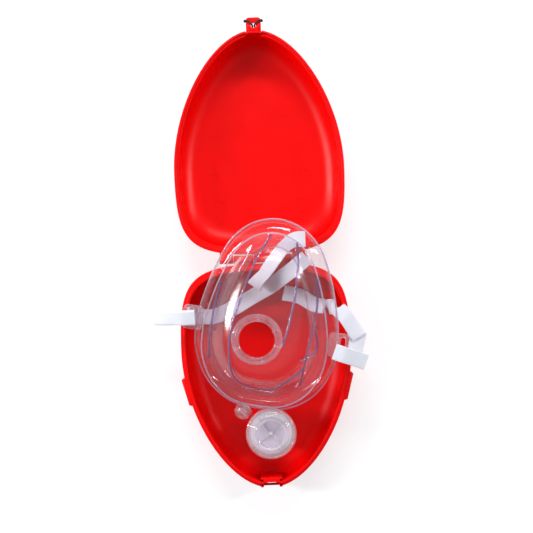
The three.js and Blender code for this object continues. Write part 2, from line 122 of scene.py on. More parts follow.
# ---------------------------------------------------------------------------
# Case: two teardrop halves of red polypropylene, injection moulded about 2 mm
# thick, with a stepped rim that interlocks when the case is shut.
HINGE_Y = 78
HINGE_Z = 28
CASE_TURNS = 144
RIM_LEDGE = 27.7
BASE_LIP = 28.8
LID_LIP = 26.6
RIM_WIDTH = 3.4
LEDGE_WIDTH = 1.6
LIP_PLAY = 0.25
FLOOR_INSET = 15
WALL = 2
BLEND = 17
EDGE_ROUND = 0.35
BOWL_CENTRE = Vector((0, 70))
TIP = 152


def to_metres(bm):
    bmesh.ops.scale(bm, vec=(MM, MM, MM), verts=bm.verts)


def add_piece(name, bm, material, body, smooth_angle=35):
    """One finished piece: rounded shading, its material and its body."""
    bmesh.ops.recalc_face_normals(bm, faces=bm.faces)
    mesh = bpy.data.meshes.new(name)
    bm.to_mesh(mesh)
    bm.free()
    mesh.shade_smooth()
    mesh.set_sharp_from_angle(angle=math.radians(smooth_angle))
    mesh.materials.append(material)
    thing = bpy.data.objects.new(name, mesh)
    scene.collection.objects.link(thing)
    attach(thing, body)
    return thing


def grow_rings(bm, turns, stations, place):
    """Pulls a ring of edges through the stations; place(share, station) says where each goes."""
    turn = bm.verts.layers.int.new("turn")
    row = bm.verts.layers.int.new("row")
    ring = bmesh.ops.create_circle(bm, cap_ends=False, segments=turns, radius=1)["verts"]
    for i, vert in enumerate(ring):
        vert[turn] = i
        vert.co = place(i / turns, stations[0])
    first = {edge for vert in ring for edge in vert.link_edges}
    edges = list(first)
    for number, station in enumerate(stations[1:], 1):
        pulled = bmesh.ops.extrude_edge_only(bm, edges=edges)["geom"]
        ring = [part for part in pulled if isinstance(part, bmesh.types.BMVert)]
        around = set(ring)
        edges = [
            part
            for part in pulled
            if isinstance(part, bmesh.types.BMEdge) and set(part.verts) <= around
        ]
        for vert in ring:
            vert[row] = number
            vert.co = place(vert[turn] / turns, station)
    return list(first), edges


def even_points(stretches, count, closed=True):
    """Evenly spaced points along Bezier stretches; an open line keeps both its ends."""
    fine = []
    for a, b, c, d in stretches:
        fine += interpolate_bezier(Vector(a), Vector(b), Vector(c), Vector(d), 60)[:-1]
    fine.append(fine[0] if closed else Vector(stretches[-1][3]))
    lengths = [0]
    for before, after in zip(fine, fine[1:]):
        lengths.append(lengths[-1] + (after - before).length)
    points = []
    k = 0
    for i in range(count):
        want = lengths[-1] * i / (count if closed else count - 1)
        while k < len(fine) - 2 and lengths[k + 1] < want:
            k += 1
        part = (want - lengths[k]) / (lengths[k + 1] - lengths[k])
        points.append(fine[k].lerp(fine[k + 1], part))
    return points


def teardrop(half, near, far, near_pull, corner_pull, shoulder):
    """Blunt by the hinge and pointed at the tip, as the rim and the floor's edge are."""
    reach = far - (far - near) * 0.321
    right = [
        [(0, near), (near_pull, near), (half, near + corner_pull), (half, shoulder)],
        [(half, shoulder), (half, reach), (half * 0.483, far), (0, far)],
    ]
    left = [[(-x, y) for x, y in reversed(stretch)] for stretch in reversed(right)]
    return even_points(right + left, CASE_TURNS)


rim_points = teardrop(56.5, 3, TIP, 49.9, 10, 59)
floor_points = teardrop(56.5 - FLOOR_INSET, 22, TIP - FLOOR_INSET, 35, 8, 59)


def bowl_stations(lip):
    """Distance out (1 at the floor's edge, 2 at the rim) and height, from outside to inside."""
    turn = [math.radians(7.5 * k) for k in range(13)]
    outside = [(0.8, 0)] + [(1 + math.sin(a), BLEND * (1 - math.cos(a))) for a in turn]
    share = EDGE_ROUND / FLOOR_INSET
    play = LIP_PLAY if lip > RIM_LEDGE else 0
    ledge_end = 2 - (LEDGE_WIDTH + play) / FLOOR_INSET
    lip_end = 2 - RIM_WIDTH / FLOOR_INSET
    step = math.copysign(EDGE_ROUND, lip - RIM_LEDGE)
    rim = [
        (2, 21),
        (2, RIM_LEDGE - EDGE_ROUND),
        (2 - 0.3 * share, RIM_LEDGE - 0.3 * EDGE_ROUND),
        (2 - share, RIM_LEDGE),
        (ledge_end + 0.4 * share, RIM_LEDGE),
        (ledge_end, RIM_LEDGE + 0.4 * step),
        (ledge_end, lip - step),
        (ledge_end - 0.3 * share, lip - 0.3 * step),
        (ledge_end - share, lip),
        (lip_end + share, lip),
        (lip_end + 0.3 * share, lip - 0.3 * EDGE_ROUND),
        (lip_end, lip - EDGE_ROUND),
        (lip_end - 0.012, 22),
    ]
    thinner = 1 - WALL / FLOOR_INSET
    inside = [(1 + thinner * math.sin(a), WALL + (BLEND - WALL) * (1 - math.cos(a))) for a in turn]
    return outside + rim + inside[::-1] + [(0.8, WALL)]


def case_half(lip):
    """One half as a bmesh in millimetres, with the hinge line at 0 and its tip towards +Y."""
    bm = bmesh.new()

    def place(share, station):
        out, height = station
        i = round(share * CASE_TURNS) % CASE_TURNS
        if out <= 1:
            spot = BOWL_CENTRE.lerp(floor_points[i], out)
        else:
            spot = floor_points[i].lerp(rim_points[i], out - 1)
        return Vector((spot.x, spot.y, height))

    under, floor = grow_rings(bm, CASE_TURNS, bowl_stations(lip), place)
    bmesh.ops.contextual_create(bm, geom=under)
    bmesh.ops.contextual_create(bm, geom=floor)
    return bm


def add_block(bm, low, high, round_by=0.3):
    """A block with softened edges, between two corners."""
    made = bmesh.ops.create_cube(bm, size=1)["verts"]
    size = Vector(high) - Vector(low)
    bmesh.ops.scale(bm, vec=size, verts=made)
    bmesh.ops.translate(bm, vec=Vector(low) + size / 2, verts=made)
    edges = list({edge for vert in made for edge in vert.link_edges})
    bmesh.ops.bevel(bm, geom=edges, offset=round_by, affect="EDGES", segments=3, profile=0.5, material=-1)


def rounded(corners, by, arc=5):
    """A closed outline with every corner turned into a short curve."""
    points = []
    for i, corner in enumerate(corners):
        here = Vector(corner)
        before = Vector(corners[i - 1])
        after = Vector(corners[(i + 1) % len(corners)])
        start = here + (before - here).normalized() * min(by, (before - here).length * 0.48)
        end = here + (after - here).normalized() * min(by, (after - here).length * 0.48)
        points += interpolate_bezier(start, start.lerp(here, 0.55), end.lerp(here, 0.55), end, arc)
    return points


def slab(bm, outline, low, high, round_by):
    """A flat plate of that outline with softened edges."""
    loop = [bm.verts.new((x, y, low)) for x, y in outline]
    face = bm.faces.new(loop)
    pulled = bmesh.ops.extrude_face_region(bm, geom=[face])["geom"]
    top = [part for part in pulled if isinstance(part, bmesh.types.BMVert)]
    bmesh.ops.translate(bm, vec=(0, 0, high - low), verts=top)
    edges = {edge for vert in loop + top for edge in vert.link_edges}
    rims = [edge for edge in edges if edge.verts[0].co.z == edge.verts[1].co.z]
    bmesh.ops.bevel(bm, geom=rims, offset=round_by, affect="EDGES", segments=3, profile=0.5, material=-1)


def add_rod(bm, radius, x_from, x_to, y, z, sides=36, round_by=0.25):
    """A rod along X with softened ends."""
    before = set(bm.verts)
    bmesh.ops.create_cone(
        bm, cap_ends=True, segments=sides, radius1=radius, radius2=radius, depth=x_to - x_from,
    )
    made = [vert for vert in bm.verts if vert not in before]
    ends = [face for face in {f for v in made for f in v.link_faces} if len(face.verts) > 4]
    edges = list({edge for face in ends for edge in face.edges})
    bmesh.ops.bevel(bm, geom=edges, offset=round_by, affect="EDGES", segments=2, profile=0.5, material=-1)
    made = [vert for vert in bm.verts if vert not in before]
    turn = Matrix.Translation(((x_from + x_to) / 2, y, z)) @ Matrix.Rotation(math.pi / 2, 4, "Y")
    bmesh.ops.transform(bm, matrix=turn, verts=made)


def cut_by(thing, cutter_bm, name):
    """Takes the cutter's shape out of a piece and leaves the plain result."""
    mesh = bpy.data.meshes.new(name)
    cutter_bm.to_mesh(mesh)
    cutter_bm.free()
    cutter = bpy.data.objects.new(name, mesh)
    scene.collection.objects.link(cutter)
    knife = thing.modifiers.new(name, "BOOLEAN")
    knife.operation = "DIFFERENCE"
    knife.solver = "EXACT"
    knife.use_self = True
    knife.object = cutter
    bpy.context.view_layer.update()
    result = bpy.data.meshes.new_from_object(thing.evaluated_get(bpy.context.evaluated_depsgraph_get()))
    thing.modifiers.clear()
    old = thing.data
    thing.data = result
    bpy.data.objects.remove(cutter)
    bpy.data.meshes.remove(mesh)
    bpy.data.meshes.remove(old)


def link(tree, a, b):
    tree.links.new(a, b)


def make_grain_group():
    """Moulded-plastic grain: a fine even texture, slow flow marks and rubbed patches."""
    group = bpy.data.node_groups.new("moulded_grain", "ShaderNodeTree")
    face = group.interface
    face.new_socket("Grain size", in_out="INPUT", socket_type="NodeSocketFloat")
    face.new_socket("Tone", in_out="OUTPUT", socket_type="NodeSocketFloat")
    face.new_socket("Height", in_out="OUTPUT", socket_type="NodeSocketFloat")
    face.new_socket("Rubbed", in_out="OUTPUT", socket_type="NodeSocketFloat")
    nodes = group.nodes
    entry = nodes.new("NodeGroupInput")
    leave = nodes.new("NodeGroupOutput")
    where = nodes.new("ShaderNodeTexCoord")
    fine = nodes.new("ShaderNodeTexNoise")
    fine.inputs["Detail"].default_value = 3
    slow = nodes.new("ShaderNodeTexNoise")
    dial(slow, {"Scale": 22, "Detail": 4, "Distortion": 1.2})
    patch = nodes.new("ShaderNodeTexNoise")
    dial(patch, {"Scale": 70, "Detail": 5})
    for texture in (fine, slow, patch):
        link(group, where.outputs["Object"], texture.inputs["Vector"])
    link(group, entry.outputs["Grain size"], fine.inputs["Scale"])
    link(group, fine.outputs["Fac"], leave.inputs["Height"])
    link(group, slow.outputs["Fac"], leave.inputs["Tone"])
    link(group, patch.outputs["Fac"], leave.inputs["Rubbed"])
    return group


grain_group = make_grain_group()


def mapped(tree, source, from_low, from_high, to_low, to_high):
    """A value carried from one range to another."""
    step = tree.nodes.new("ShaderNodeMapRange")
    dial(step, {"From Min": from_low, "From Max": from_high, "To Min": to_low, "To Max": to_high})
    link(tree, source, step.inputs["Value"])
    return step.outputs["Result"]


def two_tone(tree, source, low, high, first, second):
    """A colour that goes from first to second as the source goes from low to high."""
    mix = tree.nodes.new("ShaderNodeMix")
    mix.data_type = "RGBA"
    dial(mix, {"A": first, "B": second})
    link(tree, mapped(tree, source, low, high, 0, 1), mix.inputs["Factor"])
    return mix.outputs["Result"]


def raise_by(tree, height, shader, distance, strength=1):
    """Fine relief from a height, wired to a shader's normal."""
    bump = tree.nodes.new("ShaderNodeBump")
    dial(bump, {"Strength": strength, "Distance": distance * MM})
    link(tree, height, bump.inputs["Height"])
    link(tree, bump.outputs["Normal"], shader.inputs["Normal"])


def case_red(name, deep, bright):
    """Red polypropylene: nearly even colour, satin shine, fine mould texture."""
    material, tree, shader = start_material(name)
    grain = tree.nodes.new("ShaderNodeGroup")
    grain.node_tree = grain_group
    grain.inputs["Grain size"].default_value = 1500
    tone = two_tone(tree, grain.outputs["Tone"], 0.3, 0.7, deep, bright)
    link(tree, tone, shader.inputs["Base Color"])
    link(tree, mapped(tree, grain.outputs["Rubbed"], 0.3, 0.75, 0.3, 0.4), shader.inputs["Roughness"])
    raise_by(tree, grain.outputs["Height"], shader, 0.03, 0.12)
    shader.inputs["Specular IOR Level"].default_value = 0.15
    return material


red_plastic = case_red("red_plastic", (0.75, 0.0003, 0.0005, 1), (0.81, 0.0005, 0.0007, 1))

KNUCKLES = {"lid": [(-28.5, -19.5), (-5.8, 5.8), (19.5, 28.5)], "base": [(-19.2, -6.1), (6.1, 19.2)]}
BARREL = 2.6


def rim_gap(x):
    """How far a web reaches from the hinge line to bite into the curved rim."""
    return 3.9 + 0.0027 * x**2


def add_knuckles(bm, spans):
    """Barrels on the hinge line, each on a web that reaches the curved rim."""
    for x_from, x_to in spans:
        add_rod(bm, BARREL, x_from, x_to, 0, HINGE_Z)
        left, right = x_from + 0.15, x_to - 0.15
        web = [(left, 0), (right, 0), (right, rim_gap(right)), (left, rim_gap(left))]
        slab(bm, rounded(web, 0.4, 3), HINGE_Z - BARREL + 0.1, RIM_LEDGE - 0.05, 0.2)


def set_down(bm, way):
    """From a half's own millimetres to its place in metres; way is 1 for the lid, -1 for the base."""
    if way < 0:
        bmesh.ops.rotate(bm, matrix=Matrix.Rotation(math.pi, 3, "Z"), verts=bm.verts)
    bmesh.ops.translate(bm, vec=(0, HINGE_Y, 0), verts=bm.verts)
    to_metres(bm)


def take_up(thing, way):
    """A copy of a half's mesh, back in its own millimetres."""
    bm = bmesh.new()
    bm.from_mesh(thing.data)
    bmesh.ops.scale(bm, vec=(1 / MM,) * 3, verts=bm.verts)
    bmesh.ops.translate(bm, vec=(0, -HINGE_Y, 0), verts=bm.verts)
    if way < 0:
        bmesh.ops.rotate(bm, matrix=Matrix.Rotation(math.pi, 3, "Z"), verts=bm.verts)
    return bm


def refit(thing, bm, material):
    """Gives a half its finished mesh, with clean shading and one material."""
    bm.to_mesh(thing.data)
    bm.free()
    thing.data.shade_smooth()
    thing.data.set_sharp_from_angle(angle=math.radians(35))
    thing.data.materials.clear()
    thing.data.materials.append(material)


def pour_in(bm, part, name):
    """Adds a finished part to a larger bmesh."""
    spare = bpy.data.meshes.new(name)
    part.to_mesh(spare)
    part.free()
    bm.from_mesh(spare)
    bpy.data.meshes.remove(spare)


# ---------------------------------------------------------------------------
# Base: the half that holds the mask. Its tip has a slot with a cross bar for
# the lid's catch, and each side a ridged finger grip; all one moulding.
SLOT_HALF = 5.2
SLOT_BACK = 148.4
FRAME_WALL = 2
FRAME_FOOT = 9
GRIP_HALF = 9.5
GRIP_LOW = 17.4
GRIP_HIGH = 27.2
GRIP_RIDGES = 3
GRIP_PLACE = (52.6, 86.5, 0)
GRIP_LEAN = math.radians(15)

base_bm = case_half(BASE_LIP)
set_down(base_bm, -1)
case_base_shell = add_piece("case_base_shell", base_bm, red_plastic, "base")

slot_bm = bmesh.new()
add_block(slot_bm, (-SLOT_HALF, SLOT_BACK, 12), (SLOT_HALF, 160, 36), 0.4)
set_down(slot_bm, -1)
cut_by(case_base_shell, slot_bm, "catch_slot")

fitting_bm = take_up(case_base_shell, -1)
frame_half = SLOT_HALF + FRAME_WALL
add_block(fitting_bm, (-frame_half, SLOT_BACK - 3, FRAME_FOOT), (frame_half, SLOT_BACK, RIM_LEDGE), 0.35)
for side in (-1, 1):
    inner, outer = sorted((side * SLOT_HALF, side * frame_half))
    add_block(fitting_bm, (inner, 146, FRAME_FOOT), (outer, 151.6, RIM_LEDGE), 0.35)
add_block(fitting_bm, (-6.2, 150.5, 18.5), (6.2, 151.9, 20.5), 0.3)
add_knuckles(fitting_bm, KNUCKLES["base"])

pitch = (GRIP_HIGH - GRIP_LOW) / GRIP_RIDGES
for side in (-1, 1):
    grip = bmesh.new()
    add_block(grip, (-1.5, -GRIP_HALF, GRIP_LOW), (1.4, GRIP_HALF, GRIP_HIGH), 0.5)
    for i in range(GRIP_RIDGES):
        low = GRIP_LOW + pitch * (i + 0.2)
        add_block(grip, (0, 0.5 - GRIP_HALF, low), (2.4, GRIP_HALF - 0.5, low + pitch * 0.6), 0.55)
    lean = Matrix.Rotation(GRIP_LEAN, 4, "Z")
    mirror = Matrix.Scale(side, 4, (1, 0, 0))
    bmesh.ops.transform(grip, matrix=mirror @ Matrix.Translation(GRIP_PLACE) @ lean, verts=grip.verts)
    bmesh.ops.recalc_face_normals(grip, faces=grip.faces)
    pour_in(fitting_bm, grip, "grip")
set_down(fitting_bm, -1)
refit(case_base_shell, fitting_bm, red_plastic)
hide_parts("case_base")

# ---------------------------------------------------------------------------
# Lid: the same shape with a stepped-down rim that takes the base's lip, a seat
# for the latch tongue at the tip and four round ejector marks on the floor.
MARK_RADIUS = 4.3
MARK_SPOTS = [(32.4, 56), (28.5, 36.7)]

lid_bm = case_half(LID_LIP)
set_down(lid_bm, 1)
case_lid_shell = add_piece("case_lid_shell", lid_bm, red_plastic, "lid")

seat_bm = bmesh.new()
add_block(seat_bm, (-5.5, 147, 24.2), (5.5, 158, 34), 0.4)
for x, y in MARK_SPOTS:
    for side in (-1, 1):
        made = bmesh.ops.create_cone(
            seat_bm, cap_ends=True, segments=48, radius1=MARK_RADIUS, radius2=MARK_RADIUS, depth=1,
        )["verts"]
        bmesh.ops.translate(seat_bm, vec=(side * x, y, 2.15), verts=made)
set_down(seat_bm, 1)
cut_by(case_lid_shell, seat_bm, "latch_seat")

knuckle_bm = take_up(case_lid_shell, 1)
add_knuckles(knuckle_bm, KNUCKLES["lid"])
set_down(knuckle_bm, 1)
refit(case_lid_shell, knuckle_bm, red_plastic)
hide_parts("case_lid")

# ---------------------------------------------------------------------------
# Hinge pin: a plain drawn-steel wire with one headed end, pushed through the
# knuckles. It keeps its CAD shape.


def noise_at(tree, scale, detail, distortion=0.0):
    """A cloudy texture fixed to the piece."""
    where = tree.nodes.new("ShaderNodeTexCoord")
    cloud = tree.nodes.new("ShaderNodeTexNoise")
    dial(cloud, {"Scale": scale, "Detail": detail, "Distortion": distortion})
    link(tree, where.outputs["Object"], cloud.inputs["Vector"])
    return cloud.outputs["Fac"]


drawn_steel, steel_tree, steel_shader = start_material("drawn_steel")
steel_shader.inputs["Metallic"].default_value = 1
steel_noise = noise_at(steel_tree, 900, 3)
steel_colour = two_tone(steel_tree, steel_noise, 0.3, 0.7, (0.5, 0.5, 0.52, 1), (0.66, 0.66, 0.68, 1))
link(steel_tree, steel_colour, steel_shader.inputs["Base Color"])
link(steel_tree, mapped(steel_tree, steel_noise, 0.3, 0.7, 0.25, 0.42), steel_shader.inputs["Roughness"])
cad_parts["hinge_pin"].data.materials.clear()
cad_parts["hinge_pin"].data.materials.append(drawn_steel)

# ---------------------------------------------------------------------------
# Latch tongue: a red finger tab moulded on the lid's tip by a thin living
# hinge, with the catch blade standing on it and a hole for the cord loop.
TONGUE_ROOT = 148.8
TONGUE_REACH = 160.2
TONGUE_Z = 26.4
TONGUE_HALF = 5
TONGUE_SKIN = 1.2
CORD_HOLE = 1.7
CORD_HOLE_Y = 155
CORD_NOTCH_Y = 158

tongue_bm = bmesh.new()
tongue_outline = rounded(
    [(-TONGUE_HALF, TONGUE_ROOT), (TONGUE_HALF, TONGUE_ROOT), (TONGUE_HALF, 156.6), (4.3, CORD_NOTCH_Y),
     (TONGUE_HALF, 159), (3.6, TONGUE_REACH), (-3.6, TONGUE_REACH), (-TONGUE_HALF, 159),
     (-4.3, CORD_NOTCH_Y), (-TONGUE_HALF, 156.6)],
    0.8,
)
slab(tongue_bm, tongue_outline, TONGUE_Z - TONGUE_SKIN, TONGUE_Z + TONGUE_SKIN, 0.3)
add_block(tongue_bm, (-4.4, 148.8, TONGUE_Z), (4.4, 150, 31.6), 0.3)
for i in range(3):
    add_rod(tongue_bm, 0.35, -3.2, 3.2, 151.3 + 0.75 * i, TONGUE_Z + TONGUE_SKIN, 12, 0.15)
set_down(tongue_bm, 1)
latch_tongue_moulding = add_piece("latch_tongue_moulding", tongue_bm, red_plastic, "latch")
hole_bm = bmesh.new()
made = bmesh.ops.create_cone(
    hole_bm, cap_ends=True, segments=32, radius1=CORD_HOLE, radius2=CORD_HOLE, depth=8,
)["verts"]
bmesh.ops.translate(hole_bm, vec=(0, CORD_HOLE_Y, TONGUE_Z), verts=made)
set_down(hole_bm, 1)
cut_by(latch_tongue_moulding, hole_bm, "cord_hole")
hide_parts("latch_tongue")

# ---------------------------------------------------------------------------
# Tie cord: a thin black elastic, threaded up through the tongue's hole, out
# over both edges and back underneath, with its two cut ends left below.
CORD_RADIUS = 0.6
CORD_PLAY = 0.3
CORD_SIDES = 14
CORD_ROWS = 150
CORD_STEP = 0.35


def smooth_stretches(points, closed=False):
    """Bezier stretches of the centripetal curve through the points."""
    spots = [Vector(point) for point in points]
    count = len(spots)
    stretches = []
    for i in range(count if closed else count - 1):
        here = spots[i]
        there = spots[(i + 1) % count]
        before = spots[i - 1] if closed or i > 0 else 2 * here - there
        after = spots[(i + 2) % count] if closed or i + 2 < count else 2 * there - here
        back = math.sqrt((here - before).length)
        step = math.sqrt((there - here).length)
        on = math.sqrt((after - there).length)
        leave = (here - before) / back - (there - before) / (back + step) + (there - here) / step
        arrive = (there - here) / step - (after - here) / (step + on) + (after - there) / on
        stretches.append((here, here + leave * step / 3, there - arrive * step / 3, there))
    return stretches


def along_curve(points, count):
    """Evenly spaced points and directions along an open curve, both ends included."""
    spots = even_points(smooth_stretches(points), count, closed=False)
    ways = []
    for i in range(count):
        ways.append((spots[min(i + 1, count - 1)] - spots[max(i - 1, 0)]).normalized())
    return spots, ways


def paint_lengths(bm, sides, across, along):
    """Flat coordinates: across(turn) and along(row) for every corner."""
    turn = bm.verts.layers.int["turn"]
    row = bm.verts.layers.int["row"]
    flat = bm.loops.layers.uv.verify()
    for face in bm.faces:
        wraps = max(v[turn] for v in face.verts) - min(v[turn] for v in face.verts) > sides / 2
        for corner in face.loops:
            k = corner.vert[turn]
            if wraps and k < sides / 2:
                k += sides
            corner[flat].uv = (across(k), along(corner.vert[row]))


def round_section(sides, across, out):
    """A round or oval section, as (across, out) pairs."""
    angles = [2 * math.pi * k / sides for k in range(sides)]
    return [(across * math.cos(angle), out * math.sin(angle)) for angle in angles]


def sweep(section, spots, ways, faces):
    """A section carried along a curve; faces says where its second axis looks at each spot."""
    bm = bmesh.new()
    sides = len(section)

    def place(share, i):
        across = ways[i].cross(faces[i]).normalized()
        out = across.cross(ways[i])
        a, b = section[round(share * sides) % sides]
        return spots[i] + across * a + out * b

    first, last = grow_rings(bm, sides, range(len(spots)), place)
    bmesh.ops.contextual_create(bm, geom=first)
    bmesh.ops.contextual_create(bm, geom=last)
    return bm


cord_high = TONGUE_Z + TONGUE_SKIN + CORD_RADIUS + CORD_PLAY
cord_low = TONGUE_Z - TONGUE_SKIN - CORD_RADIUS - CORD_PLAY
cord_side = TONGUE_HALF + CORD_RADIUS + 0.35
cord_half = [
    (0.75, CORD_HOLE_Y, cord_low - 1.4), (0.75, CORD_HOLE_Y, TONGUE_Z), (1.3, CORD_HOLE_Y + 0.5, cord_high),
    (3.6, CORD_NOTCH_Y - 0.4, cord_high + 0.1), (cord_side - 0.5, CORD_NOTCH_Y, cord_high - 0.1),
    (cord_side, CORD_NOTCH_Y, TONGUE_Z), (cord_side - 0.5, CORD_NOTCH_Y + 0.1, cord_low),
    (2.6, CORD_NOTCH_Y + 0.6, cord_low),
]
cord_route = [(-x, y, z) for x, y, z in cord_half] + cord_half[::-1]
cord_spots, cord_ways = along_curve(cord_route, CORD_ROWS)
cord_faces = [Vector((0, 0, 1))]
for way in cord_ways[1:]:
    cord_faces.append((cord_faces[-1] - way * cord_faces[-1].dot(way)).normalized())
cord_faces[0] = cord_faces[1]
cord_bm = sweep(round_section(CORD_SIDES, CORD_RADIUS, CORD_RADIUS), cord_spots, cord_ways, cord_faces)
paint_lengths(cord_bm, CORD_SIDES, lambda k: k / CORD_SIDES, lambda i: i * CORD_STEP)
set_down(cord_bm, 1)

black_braid, braid_tree, braid_shader = start_material("black_braid")
braid_shader.inputs["Roughness"].default_value = 0.75
braid_waves = []
for slant in (1, -1):
    flat = braid_tree.nodes.new("ShaderNodeUVMap")
    turned_flat = braid_tree.nodes.new("ShaderNodeMapping")
    turned_flat.inputs["Scale"].default_value = (4, 1.2 * slant, 1)
    wave = braid_tree.nodes.new("ShaderNodeTexWave")
    wave.bands_direction = "DIAGONAL"
    dial(wave, {"Scale": 1.0, "Distortion": 0.4})
    link(braid_tree, flat.outputs["UV"], turned_flat.inputs["Vector"])
    link(braid_tree, turned_flat.outputs["Vector"], wave.inputs["Vector"])
    braid_waves.append(wave.outputs["Fac"])
braid = braid_tree.nodes.new("ShaderNodeMath")
braid.operation = "MAXIMUM"
link(braid_tree, braid_waves[0], braid.inputs[0])
link(braid_tree, braid_waves[1], braid.inputs[1])
braid_colour = two_tone(
    braid_tree, braid.outputs["Value"], 0.3, 1, (0.004, 0.004, 0.005, 1), (0.02, 0.02, 0.023, 1),
)
link(braid_tree, braid_colour, braid_shader.inputs["Base Color"])
raise_by(braid_tree, braid.outputs["Value"], braid_shader, 0.12)
tie_cord_loop = add_piece("tie_cord_loop", cord_bm, black_braid, "latch", 60)
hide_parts("tie_cord")

# ---------------------------------------------------------------------------
# Mask dome: one clear vinyl shell, blow moulded about 1.4 mm thick, from a
# round hole under the port down to a flat lip that is welded to the cushion.
MASK_TURNS = 192
PORT_X = -3.1
PORT_Y = 10.3
PORT_TILT = math.radians(-15)
PORT_ROLL = math.radians(5)
PORT_HOLE = 14.2
DOME_FOOT = 9.8
DOME_TOP = 30
DOME_SKIN = 1.4
DOME_LIP = 6.5
MASK_TILT = math.radians(16)
mask_place = (
    Matrix.Translation((0, 24.6, 31))
    @ Matrix.Rotation(math.radians(-8.5), 4, "Z")
    @ Matrix.Rotation(MASK_TILT, 4, "X")
    @ Matrix.Rotation(math.radians(-5.5), 4, "Y")
)
face_half = [
    (15.5, 78), (28, 67), (36.5, 50), (43.3, 28), (47.2, 6), (46, -14), (36.5, -34), (20, -46.5),
]
face_route = [(0, 82)] + face_half + [(0, -49.3)] + [(-x, y) for x, y in face_half[::-1]]
face_line = even_points(smooth_stretches(face_route, closed=True), MASK_TURNS)


def face_point(share, inset):
    """A point of the face's outline, moved inwards."""
    i = round(share * MASK_TURNS)
    way = (face_line[(i + 1) % MASK_TURNS] - face_line[i - 1]).normalized()
    spot = face_line[i % MASK_TURNS]
    return Vector((spot.x + way.y * inset, spot.y - way.x * inset))


def dome_place(share, station):
    """Out is 0 at the port's hole and 1 at the lip's edge; the top leans back under the port."""
    out, height = station
    angle = share * 2 * math.pi
    hole = Vector((PORT_X + PORT_HOLE * math.sin(angle), PORT_Y + PORT_HOLE * math.cos(angle)))
    spot = hole.lerp(face_point(share, DOME_LIP), out)
    lean = (spot.y - PORT_Y) * math.tan(PORT_TILT) - (spot.x - PORT_X) * math.tan(PORT_ROLL)
    inward = min(out, 1)
    return Vector((spot.x, spot.y, height + lean * (1 - inward) ** 3 * (1 + 3 * inward)))


def to_mask(bm):
    """From the mask's own millimetres to its place in metres."""
    bmesh.ops.transform(bm, matrix=Matrix.Scale(MM, 4) @ mask_place, verts=bm.verts)


def math_node(tree, operation, source, *values):
    """One Math node on a source, with its other inputs given."""
    step = tree.nodes.new("ShaderNodeMath")
    step.operation = operation
    link(tree, source, step.inputs[0])
    for place, value in enumerate(values, 1):
        step.inputs[place].default_value = value
    return step


def clear_plastic(name, tint, edge_painted_shade, body_colour, haze, rim_haze, shine, ripple, bend=0.0):
    """Clear vinyl: light goes through, thick or edge-on plastic looks milky, and it shines.

    Bend is how much of the milky share is thick clear plastic that bends light instead.
    """
    material, tree, milky = start_material(name)
    nodes = tree.nodes
    dial(milky, {"Roughness": 0.05 if bend else 0.25, "Transmission Weight": bend, "IOR": 1.45})
    glass = nodes.new("ShaderNodeBsdfTransparent")
    gloss = nodes.new("ShaderNodeBsdfPrincipled")
    dial(gloss, {"Metallic": 1, "Base Color": (1, 1, 1, 1)})
    cloud = noise_at(tree, 55, 4, 0.8)
    darker = tuple(0.93 * c for c in body_colour[:3]) + (1,)
    link(tree, two_tone(tree, cloud, 0.3, 0.7, body_colour, darker), milky.inputs["Base Color"])
    link(tree, mapped(tree, cloud, 0.3, 0.7, shine, shine * 1.6), gloss.inputs["Roughness"])
    raise_by(tree, noise_at(tree, 120, 2, 0.5), gloss, 0.5, ripple)
    edge_on = nodes.new("ShaderNodeLayerWeight")
    edge_on.inputs["Blend"].default_value = 0.5
    rim = math_node(tree, "POWER", edge_on.outputs["Facing"], 3)
    # Edge-on, the see-through colour turns to the darker edge colour: partly the longer way through the
    # vinyl, partly painted shade for the dark edges that bent light shows.
    through = nodes.new("ShaderNodeMix")
    through.data_type = "RGBA"
    through.inputs["B"].default_value = edge_painted_shade
    fainter = tuple(0.98 * c for c in tint[:3]) + (1,)
    link(tree, rim.outputs["Value"], through.inputs["Factor"])
    link(tree, two_tone(tree, cloud, 0.3, 0.7, tint, fainter), through.inputs["A"])
    link(tree, through.outputs["Result"], glass.inputs["Color"])
    spread = math_node(tree, "MULTIPLY_ADD", rim.outputs["Value"], rim_haze)
    link(tree, mapped(tree, cloud, 0.3, 0.7, haze * 0.8, haze * 1.2), spread.inputs[2])
    inner = nodes.new("ShaderNodeMixShader")
    link(tree, spread.outputs["Value"], inner.inputs["Fac"])
    link(tree, glass.outputs["BSDF"], inner.inputs[1])
    link(tree, milky.outputs["BSDF"], inner.inputs[2])
    glancing = math_node(tree, "POWER", edge_on.outputs["Facing"], 6)
    mirror = math_node(tree, "MULTIPLY_ADD", glancing.outputs["Value"], 0.85, 0.035)
    outer = nodes.new("ShaderNodeMixShader")
    link(tree, mirror.outputs["Value"], outer.inputs["Fac"])
    link(tree, inner.outputs["Shader"], outer.inputs[1])
    link(tree, gloss.outputs["BSDF"], outer.inputs[2])
    link(tree, outer.outputs["Shader"], nodes["Material Output"].inputs["Surface"])
    return material


def closed_rings(turns, stations, place):
    """Rings pulled through the stations, with the last one joined to the first."""
    bm = bmesh.new()
    first, last = grow_rings(bm, turns, stations, place)
    bmesh.ops.bridge_loops(bm, edges=first + last)
    return bm


